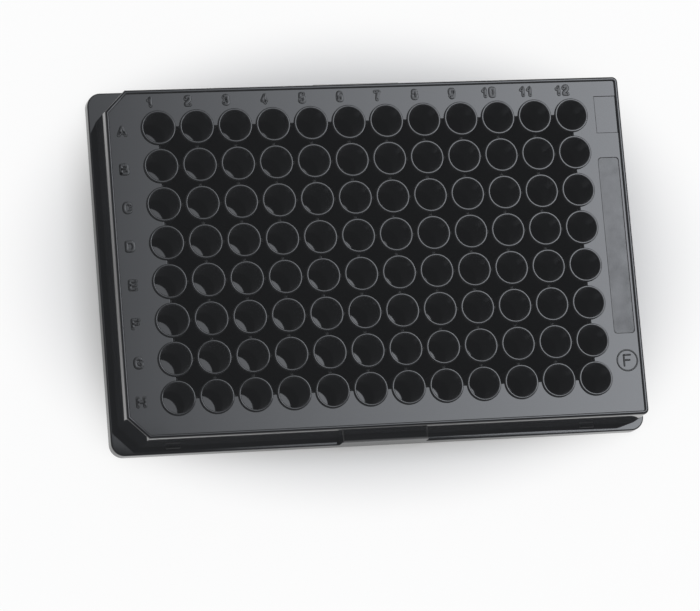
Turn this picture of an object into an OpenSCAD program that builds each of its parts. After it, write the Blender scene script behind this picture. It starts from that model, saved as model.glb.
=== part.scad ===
// A 96-well plate: one injection moulding in black polystyrene.
//
// Millimetres, +Z up. X runs along the twelve columns and Y along the eight
// rows, and the origin is at the centre of the footprint, in the plane that
// the plate stands on. Row A is the one at +Y and column 1 the one at -X, so
// the two cut corners, beside wells A1 and H1, are at -X.
//
// From the outside in it is a foot flange, a skirt that leans in a little on
// its way up, a deck with a raised lip round it, and a block of open-topped
// wells that stand free of each other but for thin webs, and for a sheet that
// closes the gaps between them at the bottom.

/* [Grid of wells] */
// Wells along the length
columns = 12; // [2:1:24]
// Wells along the width
rows = 8; // [2:1:16]
// Distance between the centres of neighbouring wells
pitch = 9; // [8.5:0.1:14]

/* [Footprint] */
// From the centre of an outer well to the end of the foot, along X
end_margin = 14.38; // [11.5:0.01:24]
// From the centre of an outer well to the side of the foot, along Y
side_margin = 11.24; // [9:0.01:20]
// Overall height, from the ground to the rims of the wells
plate_h = 14.2; // [11.5:0.1:30]

/* [Foot flange] */
// Height of the flange round the bottom
foot_h = 2.8; // [2:0.1:5]
// How far the foot stands out from the skirt, where they meet
foot_step = 1.9; // [1:0.05:3]
// Corner radius of the flange, seen from above
foot_corner_r = 3.2; // [1.5:0.1:6]
// Rounding along the upper edge of the flange
foot_edge_r = 0.3; // [0.1:0.05:0.6]

/* [Skirt] */
// Lean of the outer walls, so that the part leaves its mould
draft = 1.7; // [0.5:0.1:4]
// Thickness of the skirt, the flange and the pads
wall = 1.2; // [0.8:0.05:1.6]
// Leg of the two cut corners, at the top
corner_cut = 4.95; // [2:0.05:7]
// Corner radius at the other two corners, at the top
corner_r = 1.3; // [0.6:0.1:3]

/* [Side pads] */
// Length of the pad in the middle of each long side
pad_l = 20.9; // [8:0.1:40]
// Height of the pads, from the ground
pad_h = 6.5; // [5:0.1:10]

/* [Lid rests] */
// Length of the small half-round bars on the flange, which a lid sits on
rest_l = 3.4; // [2:0.1:8]
// Radius of the bars
rest_r = 0.35; // [0.2:0.05:0.6]

/* [Deck] */
// Thickness of the deck
deck_t = 1.3; // [0.8:0.1:2]
// How far the deck lies below the lip and the rims of the wells
deck_drop = 0.5; // [0.2:0.05:1.5]
// Width of the lip round the deck
lip_w = 0.88; // [0.5:0.05:1.5]

/* [Wells] */
// Inner diameter of a well at its mouth
well_d = 6.96; // [5:0.02:7.4]
// Thickness of a well's wall at its mouth
well_wall = 0.57; // [0.4:0.01:0.7]
// How far the inside of a well has narrowed at its floor, on each side
well_taper = 0.23; // [0:0.01:0.6]
// Depth of a well, from its rim to its flat floor
well_depth = 10.9; // [6:0.1:11.4]
// Thickness of the floor of a well
well_floor_t = 0.9; // [0.8:0.1:2]

/* [Between the wells] */
// Thickness of the webs that tie neighbouring wells together
web_t = 1; // [0.6:0.1:2]
// How far the top of a web lies below the rims
web_drop = 1.5; // [1:0.1:5]
// Thickness of the sheet that closes the gaps at the bottom
sheet_t = 0.8; // [0.6:0.1:2]
// How far the wells stand out below the sheet
sheet_rise = 0.2; // [0.2:0.1:1.5]

/* [Deck markings] */
// Depth of the shallow panels that are let into the deck
panel_depth = 0.15; // [0.05:0.05:0.3]
// Width of the writing strip beside the last column
strip_w = 4.85; // [2:0.05:6]
// Length of the writing strip
strip_l = 42; // [10:1:60]
// Corner radius of the writing strip
strip_r = 0.8; // [0.2:0.1:2]
// Width of the blank panel beside the first row, from the foot of the lip
panel_w = 5.2; // [2:0.1:6]
// Length of the blank panel
panel_l = 8.7; // [4:0.1:12]
// Outer diameter of the raised ring below the writing strip
ring_d = 5.3; // [3:0.1:6]
// Gap between the writing strip and the ring
ring_gap = 3.9; // [1:0.1:8]
// Width and height of the bead that forms the ring
bead = 0.4; // [0.1:0.05:0.45]
// How far the markings lie towards the lip from the middle of their border
marking_shift = 0.5; // [0:0.1:1]

/* [Hidden] */

// Outline of the foot, and the centres of the outer wells
outer_x = (columns - 1) * pitch / 2;
outer_y = (rows - 1) * pitch / 2;
foot_x = outer_x + end_margin;
foot_y = outer_y + side_margin;

// Half sizes of the skirt: where it meets the flange, and at the top
lean = tan(draft);
skirt_x = foot_x - foot_step;
skirt_y = foot_y - foot_step;
top_x = skirt_x - (plate_h - foot_h) * lean;
top_y = skirt_y - (plate_h - foot_h) * lean;

// Heights from the ground
deck_top = plate_h - deck_drop;
deck_under = deck_top - deck_t;
well_floor = plate_h - well_depth;
well_under = well_floor - well_floor_t;
web_top = plate_h - web_drop;
sheet_under = well_under + sheet_rise;

// Outside of a well, and its rim, which is rounded over the wall's thickness
well_outer_r = well_d / 2 + well_wall;
rim_r = well_wall / 2;
rim_mid_r = well_d / 2 + rim_r;

// Places of the markings, on the deck between the last column and the lip
marking_x = (outer_x + well_outer_r + top_x - lip_w) / 2 + marking_shift;
ring_y = -strip_l / 2 - ring_gap - ring_d / 2;

// Overshoot of every cut, and thickness of the slices that a hull joins
over = 1;
slice = 0.01;

$fn = 48;

// A solid that leans in from its outline at the ground up to the height h.
// Its upper edge is rounded to edge_r.
module leaning(h, edge_r = 0) {
    hull() {
        linear_extrude(slice) children();
        for (turn = edge_r > 0 ? [0 : 22.5 : 90] : [90])
            translate([0, 0, h - slice - edge_r * (1 - sin(turn))])
                linear_extrude(slice)
                    offset(delta = -h * lean - edge_r * (1 - cos(turn))) children();
    }
}

// A rectangle about the origin, given by its half sizes, with rounded corners
module rounded_rectangle(half_x, half_y, r) {
    square([2 * half_x - 2 * r, 2 * half_y], center = true);
    square([2 * half_x, 2 * half_y - 2 * r], center = true);
    for (x = [-1, 1], y = [-1, 1])
        translate([x * (half_x - r), y * (half_y - r)]) circle(r, $fn = 32);
}

// Outline of the body at the top, drawn in by inset: two cut corners beside
// the first column, and two rounded ones beside the last
module body_outline(inset = 0) {
    half_x = top_x - inset;
    half_y = top_y - inset;
    cut = corner_cut - inset * (2 - sqrt(2));
    r = max(corner_r - inset, 0.1);
    polygon([
        [cut - half_x, half_y], [half_x - r, half_y], [half_x, half_y - r],
        [half_x, r - half_y], [half_x - r, -half_y], [cut - half_x, -half_y],
        [-half_x, cut - half_y], [-half_x, half_y - cut]
    ]);
    for (y = [-1, 1])
        translate([half_x - r, y * (half_y - r)]) circle(r, $fn = 32);
}

// The flange, the skirt and the pads, each given by how far its surfaces lie
// inside the outer ones: 0 for the moulding itself, and the wall's thickness
// for the hollow under it
module foot(inset = 0) {
    leaning(foot_h - inset, inset > 0 ? 0 : foot_edge_r)
        rounded_rectangle(foot_x - inset, foot_y - inset, foot_corner_r - inset);
}

module skirt(inset = 0, h = plate_h) {
    leaning(h) body_outline(inset - plate_h * lean);
}

module side_pads(inset = 0) {
    leaning(pad_h - inset, inset > 0 ? 0 : foot_edge_r)
        square([pad_l - 2 * inset, 2 * (foot_y - inset)], center = true);
}

module hollow() {
    translate([0, 0, -slice]) {
        foot(wall);
        skirt(wall, deck_under);
        side_pads(wall);
    }
}

// The deck is a frame: its inner edge runs through the centres of the outer
// wells, and inside that there are only webs between the wells, down to the sheet
module deck_opening() {
    translate([-outer_x, -outer_y, 0]) cube([2 * outer_x, 2 * outer_y, plate_h + over]);
}

// The lip is what is left round the deck
module deck_recess() {
    translate([0, 0, deck_top]) linear_extrude(deck_drop + over) body_outline(lip_w);
}

module panels() {
    translate([0, 0, deck_top - panel_depth])
        linear_extrude(panel_depth + over)
            intersection() {
                body_outline(lip_w);
                union() {
                    translate([marking_x, 0]) rounded_rectangle(strip_w / 2, strip_l / 2, strip_r);
                    translate([top_x - lip_w - panel_w, outer_y - panel_l / 2])
                        square([panel_w + over, panel_l]);
                }
            }
}

module ring() {
    translate([marking_x, ring_y, deck_top - bead])
        difference() {
            cylinder(h = 2 * bead, d = ring_d);
            translate([0, 0, -over]) cylinder(h = 2 * bead + 2 * over, d = ring_d - 2 * bead);
        }
}

// Four bars, beside the first and the last well of each outer row
module lid_rests() {
    for (x = [-outer_x, outer_x], y = [-skirt_y - rest_r, skirt_y + rest_r])
        translate([x - rest_l / 2, y, foot_h]) rotate([0, 90, 0]) cylinder(h = rest_l, r = rest_r);
}

// Its children once at the centre of each well
module at_wells() {
    for (column = [0 : columns - 1], row = [0 : rows - 1])
        translate([column * pitch - outer_x, outer_y - row * pitch, 0]) children();
}

// A well before it is hollowed: a round post with the outer half of the rim
module well_post() {
    rotate_extrude() {
        translate([0, well_under]) square([rim_mid_r, well_depth + well_floor_t]);
        translate([0, well_under])
            square([well_outer_r, well_depth + well_floor_t - rim_r]);
        translate([rim_mid_r, plate_h - rim_r]) circle(rim_r);
    }
}

// The inside of a well: it narrows to a flat floor, and its mouth flares out
// over the inner half of the rim
module well_bore() {
    rotate_extrude() {
        polygon([
            [0, well_floor], [well_d / 2 - well_taper, well_floor],
            [well_d / 2, plate_h - rim_r], [0, plate_h - rim_r]
        ]);
        difference() {
            translate([0, plate_h - rim_r]) square([rim_mid_r, rim_r + over]);
            translate([rim_mid_r, plate_h - rim_r]) circle(rim_r);
        }
    }
}

// Upright webs along each row and each column, from well to well
module webs() {
    for (row = [0 : rows - 1])
        translate([-outer_x, outer_y - row * pitch - web_t / 2, sheet_under])
            cube([2 * outer_x, web_t, web_top - sheet_under]);
    for (column = [0 : columns - 1])
        translate([column * pitch - outer_x - web_t / 2, -outer_y, sheet_under])
            cube([web_t, 2 * outer_y, web_top - sheet_under]);
}

// The sheet between the wells, under all of the opening in the deck
module sheet() {
    translate([-outer_x, -outer_y, sheet_under]) cube([2 * outer_x, 2 * outer_y, sheet_t]);
}

module shell() {
    difference() {
        union() {
            foot();
            skirt();
            side_pads();
        }
        hollow();
        deck_recess();
        deck_opening();
        panels();
    }
}

module well_plate() {
    color("#1e1f21")
        difference() {
            union() {
                shell();
                ring();
                lid_rests();
                webs();
                sheet();
                at_wells() well_post();
            }
            at_wells() well_bore();
        }
}

well_plate();
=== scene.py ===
"""A black 96-well laboratory plate, lying on its foot under one large soft light.

Everything is in metres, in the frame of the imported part: X along the twelve columns, Y along
the eight rows, Z up, and the origin under the middle of the plate. One injection moulding makes
the whole plate, so every piece here is a region of that moulding and rides on its one body.
"""

import math

import bpy
from mathutils import Matrix, Vector


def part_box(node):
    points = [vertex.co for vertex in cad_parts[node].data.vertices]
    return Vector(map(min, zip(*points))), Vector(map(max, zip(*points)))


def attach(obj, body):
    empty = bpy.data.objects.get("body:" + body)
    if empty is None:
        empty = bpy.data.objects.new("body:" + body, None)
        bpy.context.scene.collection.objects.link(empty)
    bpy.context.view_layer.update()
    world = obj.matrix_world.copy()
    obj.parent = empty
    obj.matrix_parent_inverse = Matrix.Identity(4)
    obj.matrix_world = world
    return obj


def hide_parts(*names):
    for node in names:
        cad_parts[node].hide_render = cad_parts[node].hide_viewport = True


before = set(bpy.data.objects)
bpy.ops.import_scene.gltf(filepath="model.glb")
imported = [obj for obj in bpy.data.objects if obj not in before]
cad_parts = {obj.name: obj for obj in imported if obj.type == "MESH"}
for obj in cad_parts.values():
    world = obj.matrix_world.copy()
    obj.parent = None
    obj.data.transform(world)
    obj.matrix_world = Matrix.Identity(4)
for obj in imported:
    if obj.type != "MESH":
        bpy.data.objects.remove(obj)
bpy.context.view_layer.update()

MM = 0.001
low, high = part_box("well_plate")

# Grid of wells
COLUMNS = 12
ROWS = 8
PITCH = 9 * MM
OUTER_X = (COLUMNS - 1) * PITCH / 2
OUTER_Y = (ROWS - 1) * PITCH / 2

# Foot, skirt and pads, as half sizes from the middle of the plate
FOOT_X, FOOT_Y = high.x, high.y
FOOT_H = 2.8 * MM
FOOT_STEP = 1.9 * MM
FOOT_CORNER_R = 3.2 * MM
FOOT_EDGE_R = 0.3 * MM
PAD_EDGE_R = 0.8 * MM
LEAN = math.tan(math.radians(1.7))
WALL = 1.2 * MM
TOP = high.z
TOP_X = FOOT_X - FOOT_STEP - (TOP - FOOT_H) * LEAN
TOP_Y = FOOT_Y - FOOT_STEP - (TOP - FOOT_H) * LEAN
CORNER_CUT = 4.95 * MM
CORNER_R = 1.3 * MM
PAD_X = 10.45 * MM
PAD_H = 6.5 * MM

# Deck and lip
DECK_DROP = 0.5 * MM
DECK_Z = TOP - DECK_DROP
DECK_T = 1.3 * MM
LIP_W = 0.88 * MM
LIP_OUTER_R = 0.42 * MM
LIP_INNER_R = 0.25 * MM
EDGE_R = 0.2 * MM
WINDOW_R = 0.3 * MM

# How far a cut runs past what it cuts, how deep one block stands in another, how far the
# panel's cut reaches into the lip, how exactly a level has to fit, how nearly a face has to
# point along an axis, and the sharpest edge that is still shaded smooth
BELOW = 2 * MM
EMBED = 0.5 * MM
LIP_OVERLAP = 0.02 * MM
EXACT = 0.01 * MM
FACING = 0.99
SMOOTH_UP_TO = math.radians(35)

# Wells, and the webs and the sheet between them
WELL_R = 3.48 * MM
WELL_FLOOR_R = 3.25 * MM
WELL_OUTER_R = 4.05 * MM
WELL_DEPTH = 10.9 * MM
WELL_FLOOR_T = 0.9 * MM
WELL_UNDER = TOP - WELL_DEPTH - WELL_FLOOR_T
WELL_FLOOR_FILLET = 0.1 * MM
WELL_SIDES = 64
RIM_R = (WELL_OUTER_R - WELL_R) / 2
RIM_MIDDLE_R = (WELL_R + WELL_OUTER_R) / 2
RIM_ROUNDING = 0.65 * RIM_R
WEB_T = 1 * MM
WEB_DROP = 1.5 * MM
SHEET_T = 0.8 * MM
SHEET_UNDER = WELL_UNDER + 0.2 * MM

# Markings on the deck. The cuts of the strip and the panel widen upwards at 45 degrees.
PANEL_DEPTH = 0.15 * MM
STRIP_X, STRIP_Y, STRIP_R = 2.425 * MM, 21 * MM, 0.8 * MM
PANEL_X, PANEL_Y = 2.6 * MM, 4.35 * MM
WIDEN = TOP + BELOW - DECK_Z + PANEL_DEPTH
MARKING_X = (OUTER_X + WELL_OUTER_R + TOP_X - LIP_W) / 2 + 0.5 * MM
RING_R = 2.45 * MM
RING_Y = -27.55 * MM
BEAD_R = 0.2 * MM
REST_R = 0.35 * MM
REST_HALF = 1.7 * MM

# Lettering: half the width of a stroke, how far its sides rise as a share of that, the height
# of its flat top, the size of one unit of the drawings, across and up, how many units high a
# sign is, the gap between two digits, and the places
STROKE_R = 0.45 * MM
STROKE_RISE = 0.6
STROKE_TOP = DECK_Z + 0.19 * MM
UNIT = (0.1 * MM, 0.098 * MM)
SIGN_UNITS = 19
FINE_STROKE_R = 0.22 * MM
FINE_UNIT = (0.115 * MM, 0.135 * MM)
DIGIT_GAP = 0.3 * MM
NUMBER_Y = 37.65 * MM
NUMBER_SHIFT = 1.63 * MM
LETTER_X = -58.0 * MM
LETTER_SHIFT = 0.55 * MM

# Camera: where it aims on the plane of the rims, and how it stands to that
LENS = 185.69
CAMERA_AIM = (-7.862 * MM, -11.889 * MM)
CAMERA_DISTANCE = 0.8318
CAMERA_HEADING = math.radians(-53.73)
CAMERA_TILT = math.radians(16.49)
CAMERA_ROLL = math.radians(50.17)

# Studio. The tent's angles are heights above the floor, seen from the middle of the plate: it is
# pale near the floor, dark from there up, and glows faintly again overhead.
FLOOR_SIZE = 6
FILL_LIGHT = 0.82
DIFFUSER_Z = 0.8
DIFFUSER_MIDDLE = (0.25, 0.2155)
DIFFUSER_SIZE = (0.44, 0.335)
DIFFUSER_TURN = math.radians(-7.1)
DIFFUSER_DIM = 0.49
DIFFUSER_BRIGHT = 7.05
TENT_R = 1.3
TENT_EDGE = math.radians(9)
TENT_DARK = 0.02
TENT_GLOW = 0.08
TENT_GLOW_FROM = math.radians(52)
TENT_GLOW_FULL = math.radians(70)
TENT_LOW = 0.35
TENT_LOW_FULL = math.radians(20)
TENT_LOW_UNTIL = math.radians(52)

# How much of the paper turns to plain white, and where that starts and is complete, as a share
# of the half sizes of the foot
PAPER_WHITE = 0.85
PAPER_FROM = 1.0
PAPER_FULL = 1.45

# The plastic, which is one wherever the finish differs, and the cool white of the lamps and of the
# glow painted on the plastic
POLYSTYRENE_BLACK = "#121315"
POLYSTYRENE_IOR = 1.59
COOL_WHITE = "#F4F8FF"

# A faint glow painted on every face of the black plastic, as light of its own: painted light. It
# stands for the stray light that keeps the deep wells, and the gaps between them, from looking
# blacker than the plastic is.
PAINTED_STRAY_GLOW = 0.0115


# ---------------------------------------------------------------- modelling

def activate(piece):
    """Makes piece the only thing that the next operator acts on."""
    bpy.ops.object.select_all(action="DESELECT")
    piece.select_set(True)
    bpy.context.view_layer.objects.active = piece


def put_in_place(piece):
    """Leaves piece's object at the origin, with its place in its mesh."""
    activate(piece)
    bpy.ops.object.transform_apply(location=True, rotation=True, scale=True)


def block(name, half_x, half_y, z_low, z_high, x=0, y=0):
    """A plain block about (x, y), to be shaped further."""
    bpy.ops.object.select_all(action="DESELECT")
    bpy.ops.mesh.primitive_cube_add(size=1, location=(x, y, (z_low + z_high) / 2))
    made = bpy.context.object
    made.name = name
    made.scale = (2 * half_x, 2 * half_y, z_high - z_low)
    put_in_place(made)
    return made


def edit(piece, kind, chosen):
    """Opens piece for editing, with the faces or edges that chosen accepts selected."""
    activate(piece)
    mesh = piece.data
    for group in (mesh.vertices, mesh.edges, mesh.polygons):
        group.foreach_set("select", [False] * len(group))
    for part in mesh.polygons if kind == "FACE" else mesh.edges:
        part.select = chosen(part)
    bpy.context.tool_settings.mesh_select_mode = (False, kind == "EDGE", kind == "FACE")
    bpy.ops.object.mode_set(mode="EDIT")


def finish_edit():
    bpy.ops.object.mode_set(mode="OBJECT")


def level_at(z):
    """A test for level faces at the height z."""
    return lambda face: abs(face.center.z - z) < EXACT and abs(face.normal.z) > FACING


def edges_of(piece, test):
    """A test for the edges of the faces of piece that pass a test of their own."""
    keys = {key for face in piece.data.polygons if test(face) for key in face.edge_keys}
    return lambda edge: edge.key in keys


def upright(piece, side=0):
    """A test for the upright edges of piece, all of them or those on one side of X."""

    def chosen(edge):
        a, b = (piece.data.vertices[v].co for v in edge.vertices)
        return abs(a.z - b.z) > 0.9 * (a - b).length and a.x * side >= 0

    return chosen


def bevel(piece, chosen, width, segments):
    edit(piece, "EDGE", chosen)
    bpy.ops.mesh.bevel(offset=width, segments=segments, affect="EDGES")
    finish_edit()


def draw_in_top(piece, half_x, half_y, z, amount):
    """Draws the level face at z in by amount all round, which gives the sides their lean."""
    edit(piece, "FACE", level_at(z))
    share = (1 - amount / half_x, 1 - amount / half_y, 1)
    bpy.ops.transform.resize(value=share, center_override=(0, 0, z))
    finish_edit()


def combine(piece, other, operation):
    """Joins other to piece, or cuts it out of it, and removes it."""
    activate(piece)
    bpy.ops.object.modifier_add(type="BOOLEAN")
    step = piece.modifiers[-1]
    step.operation = operation
    step.solver = "EXACT"
    step.material_mode = "TRANSFER"
    step.object = other
    bpy.ops.object.modifier_apply(modifier=step.name)
    bpy.data.objects.remove(other)


def repeat(piece, count, step):
    """Copies piece in a row, each copy with its own mesh."""
    activate(piece)
    bpy.ops.object.modifier_add(type="ARRAY")
    row = piece.modifiers[-1]
    row.count = count
    row.use_relative_offset = False
    row.use_constant_offset = True
    row.constant_offset_displace = step
    bpy.ops.object.modifier_apply(modifier=row.name)


def join(pieces, name):
    bpy.ops.object.select_all(action="DESELECT")
    for piece in pieces:
        piece.select_set(True)
    bpy.context.view_layer.objects.active = pieces[0]
    bpy.ops.object.join()
    pieces[0].name = name
    put_in_place(pieces[0])
    return pieces[0]


def smooth(piece):
    """Shades piece smooth round its curves, and keeps its flat faces flat."""
    activate(piece)
    bpy.ops.object.shade_smooth_by_angle(angle=SMOOTH_UP_TO)
    bpy.ops.object.modifier_add(type="WEIGHTED_NORMAL")
    piece.modifiers[-1].keep_sharp = True
    piece.modifiers[-1].weight = 100
    bpy.ops.object.modifier_apply(modifier=piece.modifiers[-1].name)


# ------------------------------------------------------------------- shell

def foot(inset=0):
    """The flange round the bottom, or with an inset the hollow inside it."""
    half_x, half_y, h = FOOT_X - inset, FOOT_Y - inset, FOOT_H - inset
    made = block("foot", half_x, half_y, -BELOW if inset else 0, h)
    bevel(made, upright(made), FOOT_CORNER_R - inset, 10)
    draw_in_top(made, half_x, half_y, h, h * LEAN)
    if not inset:
        bevel(made, edges_of(made, level_at(h)), FOOT_EDGE_R, 4)
    return made


def body(inset=0, h=TOP):
    """The skirt's block, with two cut corners and two round ones, or the hollow inside it."""
    bottom = -BELOW if inset else EMBED
    lean = (TOP - bottom) * LEAN
    half_x, half_y = TOP_X + lean - inset, TOP_Y + lean - inset
    made = block("body", half_x, half_y, bottom, h)
    bevel(made, upright(made, side=-1), CORNER_CUT - inset * (2 - math.sqrt(2)), 1)
    bevel(made, upright(made, side=1), max(CORNER_R - inset, EDGE_R), 8)
    draw_in_top(made, half_x, half_y, h, (h - bottom) * LEAN)
    return made


def side_pads(inset=0):
    """One block right across the plate, whose two ends are the pads on the long sides."""
    half_x, half_y, h = PAD_X - inset, FOOT_Y - inset, PAD_H - inset
    bottom = -BELOW if inset else EMBED
    made = block("side_pads", half_x, half_y - bottom * LEAN, bottom, h)
    draw_in_top(made, half_x, half_y, h, (h - bottom) * LEAN)
    if not inset:
        bevel(made, edges_of(made, level_at(h)), PAD_EDGE_R, 4)
    return made


def form_lip_and_deck(shell):
    """Rounds the top edge, leaves the lip standing along it and lets the deck down inside."""
    bevel(shell, edges_of(shell, level_at(TOP)), LIP_OUTER_R, 5)
    edit(shell, "FACE", level_at(TOP))
    bpy.ops.mesh.inset(thickness=LIP_W - LIP_OUTER_R, depth=0)
    bpy.ops.mesh.extrude_region_move(TRANSFORM_OT_translate={"value": (0, 0, -DECK_DROP)})
    finish_edit()
    walls = edges_of(shell, lambda face: abs(face.normal.z) < 0.01 and face.center.z > DECK_Z)
    bevel(shell, lambda edge: walls(edge) and lies_at(shell, edge, TOP), LIP_INNER_R, 3)


def lies_at(piece, edge, z):
    return all(abs(piece.data.vertices[v].co.z - z) < EXACT for v in edge.vertices)


def lies_above(piece, edge, z):
    return all(piece.data.vertices[v].co.z > z for v in edge.vertices)


def opening():
    """The open middle of the deck, out to the centres of the outer wells, with its edge rounded."""
    made = block("opening", OUTER_X, OUTER_Y, WELL_UNDER, DECK_Z - WINDOW_R)
    edit(made, "FACE", level_at(DECK_Z - WINDOW_R))
    half_x, half_y, z = OUTER_X, OUTER_Y, DECK_Z - WINDOW_R
    for turn in (22.5, 45, 67.5, 90):
        out = WINDOW_R * (1 - math.cos(math.radians(turn)))
        up = DECK_Z - WINDOW_R * (1 - math.sin(math.radians(turn)))
        bpy.ops.mesh.extrude_region_move(TRANSFORM_OT_translate={"value": (0, 0, up - z)})
        share = ((OUTER_X + out) / half_x, (OUTER_Y + out) / half_y, 1)
        bpy.ops.transform.resize(value=share, center_override=(0, 0, up))
        half_x, half_y, z = OUTER_X + out, OUTER_Y + out, up
    bpy.ops.mesh.extrude_region_move(TRANSFORM_OT_translate={"value": (0, 0, BELOW)})
    finish_edit()
    return made


def posts(z, inner=True):
    """Round posts across the level z, to cut the places of the wells, or of the outer ones only."""
    made = []
    for column in range(COLUMNS):
        for row in range(ROWS):
            if inner or column in (0, COLUMNS - 1) or row in (0, ROWS - 1):
                bpy.ops.mesh.primitive_cylinder_add(
                    vertices=WELL_SIDES,
                    radius=RIM_MIDDLE_R,
                    depth=2 * BELOW,
                    location=(column * PITCH - OUTER_X, OUTER_Y - row * PITCH, z),
                )
                made.append(bpy.context.object)
    return join(made, "posts")


def writing_strip(frosted):
    """The cut for the long shallow strip, with sides at 45 degrees and a floor to write on."""
    made = block("strip", STRIP_X, STRIP_Y, DECK_Z - PANEL_DEPTH, TOP + BELOW, MARKING_X)
    bevel(made, upright(made), STRIP_R, 8)
    edit(made, "FACE", level_at(TOP + BELOW))
    share = (1 + WIDEN / STRIP_X, 1 + WIDEN / STRIP_Y, 1)
    bpy.ops.transform.resize(value=share, center_override=(MARKING_X, 0, TOP))
    finish_edit()
    made.data.materials.append(frosted)
    return made


def blank_panel(plastic):
    """The cut for the shallow panel beside row A, which runs up to the foot of the lip."""
    lip_foot = TOP_X - LIP_W + LIP_OVERLAP
    x = lip_foot - PANEL_X
    made = block("panel", PANEL_X, PANEL_Y, DECK_Z - PANEL_DEPTH, TOP + BELOW, x, OUTER_Y)
    edit(made, "FACE", level_at(TOP + BELOW))
    share = (1 + WIDEN / (2 * PANEL_X), 1 + WIDEN / PANEL_Y, 1)
    bpy.ops.transform.resize(value=share, center_override=(lip_foot, OUTER_Y, TOP))
    finish_edit()
    made.data.materials.append(plastic)
    return made


def lid_rest(x, y, satin):
    """A small half-round bar at the foot of the skirt, satin as the cutter left it."""
    bpy.ops.object.select_all(action="DESELECT")
    bpy.ops.mesh.primitive_cylinder_add(
        vertices=24,
        radius=REST_R,
        depth=2 * REST_HALF,
        location=(x, y, FOOT_H),
        rotation=(0, math.pi / 2, 0),
    )
    made = bpy.context.object
    put_in_place(made)
    bevel(made, edges_of(made, lambda face: abs(face.normal.x) > FACING), REST_R / 3, 3)
    made.data.materials.append(satin)
    return made


def moulded_shell(plastic, frosted, satin):
    shell = body()
    form_lip_and_deck(shell)
    combine(shell, foot(), "UNION")
    combine(shell, side_pads(), "UNION")
    combine(shell, foot(WALL), "DIFFERENCE")
    combine(shell, body(WALL, DECK_Z - DECK_T), "DIFFERENCE")
    combine(shell, side_pads(WALL), "DIFFERENCE")
    combine(shell, opening(), "DIFFERENCE")
    combine(shell, posts(DECK_Z, inner=False), "DIFFERENCE")
    shell.data.materials.clear()
    shell.data.materials.append(plastic)
    rest_y = FOOT_Y - FOOT_STEP + REST_R
    for x in (-OUTER_X, OUTER_X):
        for y in (-rest_y, rest_y):
            combine(shell, lid_rest(x, y, satin), "UNION")
    combine(shell, writing_strip(frosted), "DIFFERENCE")
    combine(shell, blank_panel(plastic), "DIFFERENCE")
    shell.name = "moulded_shell"
    smooth(shell)
    return shell


# ------------------------------------------------------------------- wells

def well():
    """One open well: a post, hollowed from the top and rounded right over its rim."""
    height = TOP - WELL_UNDER
    bpy.ops.object.select_all(action="DESELECT")
    bpy.ops.mesh.primitive_cylinder_add(
        vertices=WELL_SIDES,
        radius=WELL_OUTER_R,
        depth=height,
        location=(-OUTER_X, -OUTER_Y, WELL_UNDER + height / 2),
    )
    made = bpy.context.object
    put_in_place(made)
    edit(made, "FACE", level_at(TOP))
    bpy.ops.mesh.inset(thickness=WELL_OUTER_R - WELL_R, depth=0)
    bpy.ops.mesh.extrude_region_move(TRANSFORM_OT_translate={"value": (0, 0, -WELL_DEPTH)})
    taper = WELL_FLOOR_R / WELL_R
    centre = (-OUTER_X, -OUTER_Y, TOP - WELL_DEPTH)
    bpy.ops.transform.resize(value=(taper, taper, 1), center_override=centre)
    finish_edit()
    rim = edges_of(made, level_at(TOP))
    bevel(made, lambda edge: rim(edge) and lies_round(made, edge), RIM_ROUNDING, 4)
    bevel(made, edges_of(made, level_at(TOP - WELL_DEPTH)), WELL_FLOOR_FILLET, 2)
    bevel(made, edges_of(made, level_at(WELL_UNDER)), EDGE_R, 1)
    return made


def lies_round(piece, edge):
    """Whether an edge runs round the well and not across its rim."""
    a, b = (piece.data.vertices[v].co + Vector((OUTER_X, OUTER_Y, 0)) for v in edge.vertices)
    return abs(a.xy.length - b.xy.length) < EXACT


def outside(face):
    """Whether a face of the well is part of its outer wall or its underside."""
    from_axis = (face.center + Vector((OUTER_X, OUTER_Y, 0))).xy.length
    return face.normal.z < -0.1 or (from_axis > RIM_MIDDLE_R and abs(face.normal.z) < 0.1)


def moulded_wells(plastic, unpolished):
    wells = well()
    wells.data.materials.append(plastic)
    wells.data.materials.append(unpolished)
    edit(wells, "FACE", outside)
    wells.active_material_index = 1
    bpy.ops.object.material_slot_assign()
    finish_edit()
    repeat(wells, COLUMNS, (PITCH, 0, 0))
    repeat(wells, ROWS, (0, PITCH, 0))
    wells.name = "moulded_wells"
    smooth(wells)
    return wells


def web(x, y, half_x, half_y):
    """A thin web in the gap between two wells, with its top edges eased."""
    top = TOP - WEB_DROP
    made = block("web", half_x, half_y, SHEET_UNDER + SHEET_T / 2, top, x, y)
    bevel(made, edges_of(made, level_at(top)), EDGE_R, 2)
    return made


def moulded_webs(unpolished):
    """The webs between the wells, and the sheet that closes the gaps at the bottom."""
    half_gap = PITCH / 2 - RIM_MIDDLE_R
    in_rows = web(PITCH / 2 - OUTER_X, -OUTER_Y, half_gap, WEB_T / 2)
    repeat(in_rows, COLUMNS - 1, (PITCH, 0, 0))
    repeat(in_rows, ROWS, (0, PITCH, 0))
    in_columns = web(-OUTER_X, PITCH / 2 - OUTER_Y, WEB_T / 2, half_gap)
    repeat(in_columns, COLUMNS, (PITCH, 0, 0))
    repeat(in_columns, ROWS - 1, (0, PITCH, 0))
    sheet = block("sheet", OUTER_X, OUTER_Y, SHEET_UNDER, SHEET_UNDER + SHEET_T)
    combine(sheet, posts(SHEET_UNDER), "DIFFERENCE")
    webs = join([in_rows, in_columns, sheet], "moulded_webs")
    webs.data.materials.append(unpolished)
    smooth(webs)
    return webs


# ---------------------------------------------------------------- markings

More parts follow.
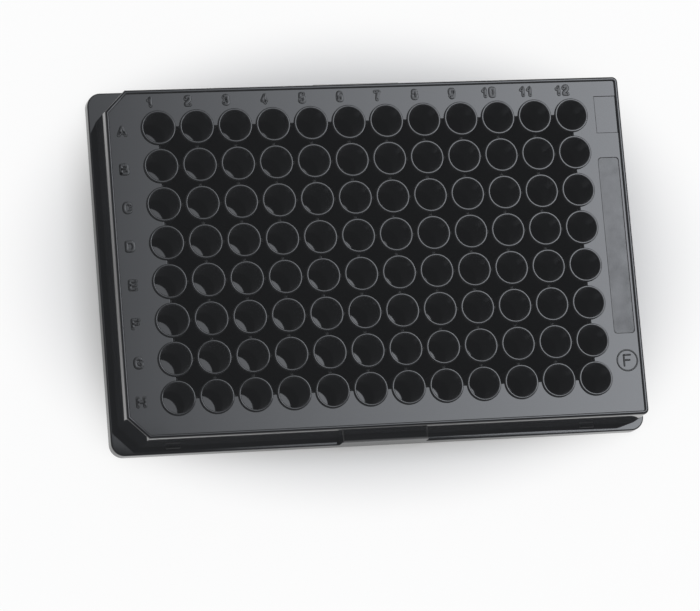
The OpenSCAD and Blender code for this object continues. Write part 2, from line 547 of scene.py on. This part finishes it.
# Middle lines of the strokes, in units from the lower left corner, 19 to its height. A stroke
# bends round its inner points, and turns sharply at a point that is given twice. One that
# ends where it starts closes on itself.
STROKES = {
    "0": [[(0, 2), (0, 17), (2, 19), (8, 19), (10, 17), (10, 2), (8, 0), (2, 0), (0, 2)]],
    "1": [[(0, 13), (3, 14), (5, 19), (5, 19), (5, 0)]],
    "2": [[(0, 14), (0, 19), (10, 20), (10, 11), (0, 4), (0, 0), (0, 0), (10, 0)]],
    "3": [[(0, 15), (1, 19), (10, 20), (9, 10), (4, 10), (4, 10), (11, 10), (10, -1), (0, 0),
           (0, 4)]],
    "4": [[(7, 0), (7, 19), (7, 19), (0, 5), (0, 5), (10, 5)]],
    "5": [[(9, 19), (2, 19), (2, 19), (1, 10), (1, 10), (10, 14), (11, -1), (0, -1), (0, 4)]],
    "6": [[(0, 3), (0, 9), (2, 12), (8, 12), (10, 9), (10, 3), (8, 0), (2, 0), (0, 3)],
          [(9, 16), (8, 20), (0, 19), (0, 6)]],
    "7": [[(0, 19), (10, 19), (10, 19), (5, 12), (4, 0)]],
    "8": [[(0, 2), (0, 8), (2, 10), (8, 10), (10, 8), (10, 2), (8, 0), (2, 0), (0, 2)],
          [(1, 12), (1, 17), (3, 19), (7, 19), (9, 17), (9, 12), (7, 10), (3, 10), (1, 12)]],
    "9": [[(0, 10), (0, 16), (2, 19), (8, 19), (10, 16), (10, 10), (8, 7), (2, 7), (0, 10)],
          [(1, 3), (2, -1), (10, 0), (10, 13)]],
    "A": [[(0, 0), (8, 19), (8, 19), (16, 0)], [(3, 6), (13, 6)]],
    "B": [[(0, 0), (0, 19), (0, 19), (14, 20), (14, 10), (5, 10)],
          [(0, 10), (15, 11), (16, -1), (0, 0), (0, 0)]],
    "C": [[(15, 14), (14, 20), (0, 20), (0, -1), (14, -1), (15, 5)]],
    "D": [[(0, 0), (0, 19), (0, 19), (16, 20), (16, -1), (0, 0), (0, 0)]],
    "E": [[(14, 19), (0, 19), (0, 19), (0, 0), (0, 0), (14, 0)], [(0, 10), (13, 10)]],
    "F": [[(14, 19), (0, 19), (0, 19), (0, 0)], [(0, 10), (12, 10)]],
    "G": [[(15, 14), (14, 20), (0, 20), (0, -1), (15, -1), (16, 8), (16, 8), (10, 8)]],
    "H": [[(0, 0), (0, 19)], [(16, 0), (16, 19)], [(0, 10), (16, 10)]],
}


def across(sign):
    return max(point[0] for line in STROKES[sign] for point in line)


def cut_letter(strokes, sign, unit, x, y):
    """Adds the strokes of one letter or digit to a curve, centred on (x, y)."""
    for line in STROKES[sign]:
        closed = line[0] == line[-1]
        points = line[:-1] if closed else line
        spline = strokes.splines.new("NURBS")
        spline.points.add(len(points) - 1)
        for point, (u, v) in zip(spline.points, points):
            right = (u - across(sign) / 2) * unit[0]
            up = (v - SIGN_UNITS / 2) * unit[1]
            point.co = (x + right, y + up, DECK_Z, 1)
        spline.order_u = 3
        spline.resolution_u = 6
        spline.use_endpoint_u = not closed
        spline.use_cyclic_u = closed


def round_ends(strokes):
    """A ball at each open end of a stroke, as a ball-nosed cutter leaves it."""
    balls = []
    for spline in strokes.splines:
        if not spline.use_cyclic_u:
            for end in (spline.points[0], spline.points[-1]):
                bpy.ops.object.select_all(action="DESELECT")
                bpy.ops.mesh.primitive_uv_sphere_add(
                    segments=16, ring_count=8, radius=strokes.bevel_depth, location=end.co.xyz
                )
                balls.append(bpy.context.object)
    return balls


def lettering(texts, stroke_r, unit):
    """Short texts, each centred on its place on the deck, all with one width of stroke."""
    strokes = bpy.data.curves.new("strokes", "CURVE")
    strokes.dimensions = "3D"
    strokes.bevel_depth = stroke_r
    strokes.bevel_resolution = 3
    for text, x, y in texts:
        widths = [across(sign) * unit[0] + 2 * stroke_r for sign in text]
        x -= (sum(widths) + DIGIT_GAP * (len(text) - 1)) / 2
        for sign, width in zip(text, widths):
            cut_letter(strokes, sign, unit, x + width / 2, y)
            x += width + DIGIT_GAP
    lines = bpy.data.objects.new("strokes", strokes)
    bpy.context.scene.collection.objects.link(lines)
    balls = round_ends(strokes)
    activate(lines)
    bpy.ops.object.convert(target="MESH")
    letters = join([lines, *balls], "letters")
    edit(letters, "FACE", lambda face: True)
    bpy.ops.transform.resize(value=(1, 1, STROKE_RISE), center_override=(0, 0, DECK_Z))
    finish_edit()
    edit(letters, "EDGE", lambda edge: lies_above(letters, edge, STROKE_TOP))
    bpy.ops.transform.resize(value=(1, 1, 0), center_override=(0, 0, STROKE_TOP))
    finish_edit()
    return letters


def ring():
    """The raised ring below the writing strip, which holds one letter."""
    bpy.ops.object.select_all(action="DESELECT")
    bpy.ops.mesh.primitive_torus_add(
        major_radius=RING_R,
        minor_radius=BEAD_R,
        major_segments=64,
        minor_segments=10,
        location=(MARKING_X, RING_Y, DECK_Z),
    )
    return bpy.context.object


def deck_lettering(satin):
    """Numbers for the columns, letters for the rows, and the one letter in the ring."""
    texts = []
    for column in range(COLUMNS):
        texts.append((str(column + 1), column * PITCH - OUTER_X - NUMBER_SHIFT, NUMBER_Y))
    for row in range(ROWS):
        texts.append(("ABCDEFGH"[row], LETTER_X, OUTER_Y - row * PITCH - LETTER_SHIFT))
    grid = lettering(texts, STROKE_R, UNIT)
    ringed = lettering([("F", MARKING_X, RING_Y)], FINE_STROKE_R, FINE_UNIT)
    signs = join([grid, ringed, ring()], "deck_lettering")
    signs.data.materials.clear()
    signs.data.materials.append(satin)
    smooth(signs)
    return signs


# --------------------------------------------------------------- materials

def linear(code):
    """An sRGB colour such as #121315 as the linear values that a shader takes."""
    channels = [int(code[i : i + 2], 16) / 255 for i in (1, 3, 5)]
    return [c / 12.92 if c <= 0.04045 else ((c + 0.055) / 1.055) ** 2.4 for c in channels] + [1]


def add_node(tree, kind, settings=None, inputs=None):
    """Adds a node, with its settings, and with values or other nodes' outputs on its inputs."""
    node = tree.nodes.new(kind)
    for name, value in (settings or {}).items():
        setattr(node, name, value)
    for name, value in (inputs or {}).items():
        if isinstance(value, bpy.types.NodeSocket):
            tree.links.new(value, node.inputs[name])
        else:
            node.inputs[name].default_value = value
    return node


def new_material(name):
    material = bpy.data.materials.new(name)
    material.use_nodes = True
    material.node_tree.nodes.clear()
    return material, material.node_tree


def black_polystyrene():
    """Black polystyrene from a polished mould: deep black under a clear, hard reflection.

    The reflection is not quite a mirror's. It wanders a little over the sink marks, which
    are some 15 mm across, and its sharpness varies where the steel was polished less.
    """
    material, tree = new_material("black_polystyrene")
    place = add_node(tree, "ShaderNodeTexCoord").outputs["Object"]
    polish = add_node(
        tree, "ShaderNodeTexNoise", inputs={"Vector": place, "Scale": 1 / (6 * MM), "Detail": 3}
    )
    roughness = add_node(
        tree,
        "ShaderNodeMapRange",
        inputs={"Value": polish.outputs["Fac"], "To Min": 0.03, "To Max": 0.07},
    )
    sinks = add_node(
        tree, "ShaderNodeTexNoise", inputs={"Vector": place, "Scale": 1 / (15 * MM), "Detail": 1}
    )
    waves = add_node(
        tree,
        "ShaderNodeBump",
        inputs={"Height": sinks.outputs["Fac"], "Strength": 1, "Distance": 0.01 * MM},
    )
    shader = add_node(
        tree,
        "ShaderNodeBsdfPrincipled",
        inputs={
            "Base Color": linear(POLYSTYRENE_BLACK),
            "Roughness": roughness.outputs["Result"],
            "IOR": POLYSTYRENE_IOR,
            # Painted glow: the plastic gives off a faint light of its own, standing in for stray
            # light
            "Emission Color": linear(COOL_WHITE),
            "Emission Strength": PAINTED_STRAY_GLOW,
            "Normal": waves.outputs["Normal"],
        },
    )
    add_node(tree, "ShaderNodeOutputMaterial", inputs={"Surface": shader.outputs["BSDF"]})
    return material


def unpolished_polystyrene():
    """The same plastic between and under the wells, from steel that was left as milled."""
    material, tree = new_material("unpolished_polystyrene")
    place = add_node(tree, "ShaderNodeTexCoord").outputs["Object"]
    milling = add_node(
        tree, "ShaderNodeTexNoise", inputs={"Vector": place, "Scale": 1 / (0.8 * MM), "Detail": 3}
    )
    roughness = add_node(
        tree,
        "ShaderNodeMapRange",
        inputs={"Value": milling.outputs["Fac"], "To Min": 0.45, "To Max": 0.6},
    )
    shader = add_node(
        tree,
        "ShaderNodeBsdfPrincipled",
        inputs={
            "Base Color": linear(POLYSTYRENE_BLACK),
            "Roughness": roughness.outputs["Result"],
            "IOR": POLYSTYRENE_IOR,
            # Painted glow: the plastic gives off a faint light of its own, standing in for stray
            # light
            "Emission Color": linear(COOL_WHITE),
            "Emission Strength": PAINTED_STRAY_GLOW,
        },
    )
    add_node(tree, "ShaderNodeOutputMaterial", inputs={"Surface": shader.outputs["BSDF"]})
    return material


def frosted_polystyrene():
    """The same plastic where the mould is finely blasted, so that a pen takes on it.

    The grain of blasted steel is too fine to show, so it is drawn at 0.3 mm.
    """
    material, tree = new_material("frosted_polystyrene")
    place = add_node(tree, "ShaderNodeTexCoord").outputs["Object"]
    grain = add_node(
        tree, "ShaderNodeTexNoise", inputs={"Vector": place, "Scale": 1 / (0.3 * MM), "Detail": 4}
    )
    bumps = add_node(
        tree,
        "ShaderNodeBump",
        inputs={"Height": grain.outputs["Fac"], "Strength": 0.6, "Distance": 0.01 * MM},
    )
    patches = add_node(
        tree, "ShaderNodeTexNoise", inputs={"Vector": place, "Scale": 1 / (3 * MM), "Detail": 3}
    )
    roughness = add_node(
        tree,
        "ShaderNodeMapRange",
        inputs={"Value": patches.outputs["Fac"], "To Min": 0.1, "To Max": 0.32},
    )
    shader = add_node(
        tree,
        "ShaderNodeBsdfPrincipled",
        inputs={
            "Base Color": linear(POLYSTYRENE_BLACK),
            "Roughness": roughness.outputs["Result"],
            "IOR": POLYSTYRENE_IOR,
            # Painted glow: the plastic gives off a faint light of its own, standing in for stray
            # light
            "Emission Color": linear(COOL_WHITE),
            "Emission Strength": PAINTED_STRAY_GLOW,
            "Normal": bumps.outputs["Normal"],
        },
    )
    add_node(tree, "ShaderNodeOutputMaterial", inputs={"Surface": shader.outputs["BSDF"]})
    return material


def lettering_polystyrene():
    """The same plastic on the raised lettering, which the cutter left with a satin finish."""
    material, tree = new_material("lettering_polystyrene")
    place = add_node(tree, "ShaderNodeTexCoord").outputs["Object"]
    cutting = add_node(
        tree, "ShaderNodeTexNoise", inputs={"Vector": place, "Scale": 1 / (0.5 * MM), "Detail": 3}
    )
    roughness = add_node(
        tree,
        "ShaderNodeMapRange",
        inputs={"Value": cutting.outputs["Fac"], "To Min": 0.24, "To Max": 0.34},
    )
    shader = add_node(
        tree,
        "ShaderNodeBsdfPrincipled",
        inputs={
            "Base Color": linear(POLYSTYRENE_BLACK),
            "Roughness": roughness.outputs["Result"],
            "IOR": POLYSTYRENE_IOR,
            # Painted glow: the plastic gives off a faint light of its own, standing in for stray
            # light
            "Emission Color": linear(COOL_WHITE),
            "Emission Strength": PAINTED_STRAY_GLOW,
        },
    )
    add_node(tree, "ShaderNodeOutputMaterial", inputs={"Surface": shader.outputs["BSDF"]})
    return material


# ------------------------------------------------------------------ studio

def pale_floor():
    """Seamless matt paper, which brightens to an even white away from the plate."""
    bpy.ops.object.select_all(action="DESELECT")
    bpy.ops.mesh.primitive_plane_add(size=FLOOR_SIZE, location=(0, 0, 0))
    floor = bpy.context.object
    floor.name = "floor"
    material, tree = new_material("matt_paper")
    paper = add_node(
        tree, "ShaderNodeBsdfDiffuse", inputs={"Color": linear("#F7F7F7"), "Roughness": 0.5}
    )
    white = add_node(
        tree, "ShaderNodeEmission", inputs={"Color": linear("#FFFFFF"), "Strength": 1}
    )
    place = add_node(tree, "ShaderNodeTexCoord").outputs["Object"]
    from_plate = add_node(
        tree,
        "ShaderNodeMapping",
        inputs={"Vector": place, "Scale": (1 / FOOT_X, 1 / FOOT_Y, 0)},
    )
    away = add_node(
        tree, "ShaderNodeVectorMath", {"operation": "LENGTH"}, {0: from_plate.outputs["Vector"]}
    )
    clear = add_node(
        tree,
        "ShaderNodeMapRange",
        {"interpolation_type": "SMOOTHSTEP"},
        {
            "Value": away.outputs["Value"],
            "From Min": PAPER_FROM,
            "From Max": PAPER_FULL,
            "To Max": PAPER_WHITE,
        },
    )
    share = add_node(
        tree,
        "ShaderNodeMath",
        {"operation": "MULTIPLY"},
        {0: white_to_the_eye(tree), 1: clear.outputs["Result"]},
    )
    look = add_node(
        tree,
        "ShaderNodeMixShader",
        inputs={0: share.outputs[0], 1: paper.outputs["BSDF"], 2: white.outputs["Emission"]},
    )
    add_node(tree, "ShaderNodeOutputMaterial", inputs={"Surface": look.outputs["Shader"]})
    floor.data.materials.append(material)


def soft_panel():
    """One large diffuser above the right-hand side, brighter towards its far right.

    It is turned a little, so that the front flange mirrors it only over its right-hand part.
    """
    bpy.ops.object.select_all(action="DESELECT")
    bpy.ops.mesh.primitive_plane_add(size=1, location=(*DIFFUSER_MIDDLE, DIFFUSER_Z))
    diffuser = bpy.context.object
    diffuser.name = "soft_panel"
    diffuser.scale = (*DIFFUSER_SIZE, 1)
    diffuser.rotation_euler.z = DIFFUSER_TURN
    put_in_place(diffuser)
    material, tree = new_material("lit_diffuser")
    place = add_node(tree, "ShaderNodeTexCoord").outputs["Object"]
    axes = add_node(tree, "ShaderNodeSeparateXYZ", inputs={"Vector": place})
    left = DIFFUSER_MIDDLE[0] - DIFFUSER_SIZE[0] / 2
    strength = add_node(
        tree,
        "ShaderNodeMapRange",
        inputs={
            "Value": axes.outputs["X"],
            "From Min": left,
            "From Max": left + DIFFUSER_SIZE[0],
            "To Min": DIFFUSER_DIM,
            "To Max": DIFFUSER_BRIGHT,
        },
    )
    glow = add_node(
        tree,
        "ShaderNodeEmission",
        inputs={"Color": linear(COOL_WHITE), "Strength": strength.outputs["Result"]},
    )
    add_node(tree, "ShaderNodeOutputMaterial", inputs={"Surface": glow.outputs["Emission"]})
    diffuser.data.materials.append(material)
    diffuser.visible_camera = False


def felt_tent():
    """A dome of felt over the set, round the diffuser, which only the gloss sees.

    It is dark above, and paler towards the floor, so that the plate's gloss shows from low
    down too.
    """
    bpy.ops.object.select_all(action="DESELECT")
    bpy.ops.mesh.primitive_uv_sphere_add(segments=48, ring_count=40, radius=TENT_R)
    tent = bpy.context.object
    tent.name = "felt_tent"
    edit(tent, "FACE", lambda face: face.center.z < TENT_R * math.sin(TENT_EDGE))
    bpy.ops.mesh.delete(type="FACE")
    finish_edit()
    material, tree = new_material("dark_felt")
    place = add_node(tree, "ShaderNodeTexCoord").outputs["Object"]
    up = add_node(tree, "ShaderNodeSeparateXYZ", inputs={"Vector": place}).outputs["Z"]
    glow = add_node(
        tree,
        "ShaderNodeMapRange",
        {"interpolation_type": "SMOOTHSTEP"},
        {
            "Value": up,
            "From Min": TENT_R * math.sin(TENT_GLOW_FROM),
            "From Max": TENT_R * math.sin(TENT_GLOW_FULL),
            "To Min": TENT_DARK,
            "To Max": TENT_GLOW,
        },
    )
    low_glow = add_node(
        tree,
        "ShaderNodeMapRange",
        {"interpolation_type": "SMOOTHSTEP"},
        {
            "Value": up,
            "From Min": TENT_R * math.sin(TENT_LOW_FULL),
            "From Max": TENT_R * math.sin(TENT_LOW_UNTIL),
            "To Min": TENT_LOW,
            "To Max": 0,
        },
    )
    both = add_node(
        tree,
        "ShaderNodeMath",
        {"operation": "ADD"},
        {0: glow.outputs["Result"], 1: low_glow.outputs["Result"]},
    )
    felt = add_node(
        tree,
        "ShaderNodeEmission",
        inputs={"Color": linear("#FFFFFF"), "Strength": both.outputs[0]},
    )
    add_node(tree, "ShaderNodeOutputMaterial", inputs={"Surface": felt.outputs["Emission"]})
    tent.data.materials.append(material)
    tent.visible_camera = False
    tent.visible_diffuse = False
    tent.visible_shadow = False


def white_to_the_eye(tree):
    """1 for a camera ray, or one that is seen in gloss or through glass, and 0 for light."""
    ray = add_node(tree, "ShaderNodeLightPath")
    seen = add_node(
        tree,
        "ShaderNodeMath",
        {"operation": "ADD", "use_clamp": True},
        {0: ray.outputs["Is Camera Ray"], 1: ray.outputs["Is Glossy Ray"]},
    )
    return add_node(
        tree,
        "ShaderNodeMath",
        {"operation": "ADD", "use_clamp": True},
        {0: seen.outputs[0], 1: ray.outputs["Is Transmission Ray"]},
    ).outputs[0]


def pale_surroundings():
    """Soft light from all round, which shows as plain white to the camera and in gloss."""
    world = bpy.data.worlds.new("surroundings")
    bpy.context.scene.world = world
    world.use_nodes = True
    tree = world.node_tree
    tree.nodes.clear()
    strength = add_node(
        tree,
        "ShaderNodeMapRange",
        inputs={"Value": white_to_the_eye(tree), "To Min": FILL_LIGHT, "To Max": 1},
    )
    light = add_node(
        tree,
        "ShaderNodeBackground",
        inputs={"Color": linear("#FFFFFF"), "Strength": strength.outputs["Result"]},
    )
    add_node(tree, "ShaderNodeOutputWorld", inputs={"Surface": light.outputs["Background"]})


def camera():
    """Looks down on the plate from its front left, close to upright in the picture."""
    data = bpy.data.cameras.new("camera")
    data.sensor_width = 36
    data.lens = LENS
    made = bpy.data.objects.new("camera", data)
    bpy.context.scene.collection.objects.link(made)
    turn = (
        Matrix.Rotation(CAMERA_HEADING, 4, "Z")
        @ Matrix.Rotation(CAMERA_TILT, 4, "X")
        @ Matrix.Rotation(CAMERA_ROLL, 4, "Z")
    )
    aim = Matrix.Translation((*CAMERA_AIM, TOP))
    made.matrix_world = aim @ turn @ Matrix.Translation((0, 0, CAMERA_DISTANCE))
    bpy.context.scene.camera = made


pale_floor()
soft_panel()
felt_tent()
pale_surroundings()
camera()

plastic = black_polystyrene()
frosted = frosted_polystyrene()
unpolished = unpolished_polystyrene()
satin = lettering_polystyrene()
pieces = [
    moulded_shell(plastic, frosted, satin),
    moulded_wells(plastic, unpolished),
    moulded_webs(unpolished),
    deck_lettering(satin),
]
for piece in pieces:
    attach(piece, "root")
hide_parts("well_plate")
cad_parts["well_plate"].data.materials.clear()
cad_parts["well_plate"].data.materials.append(plastic)

bpy.context.scene.view_settings.view_transform = "Standard"
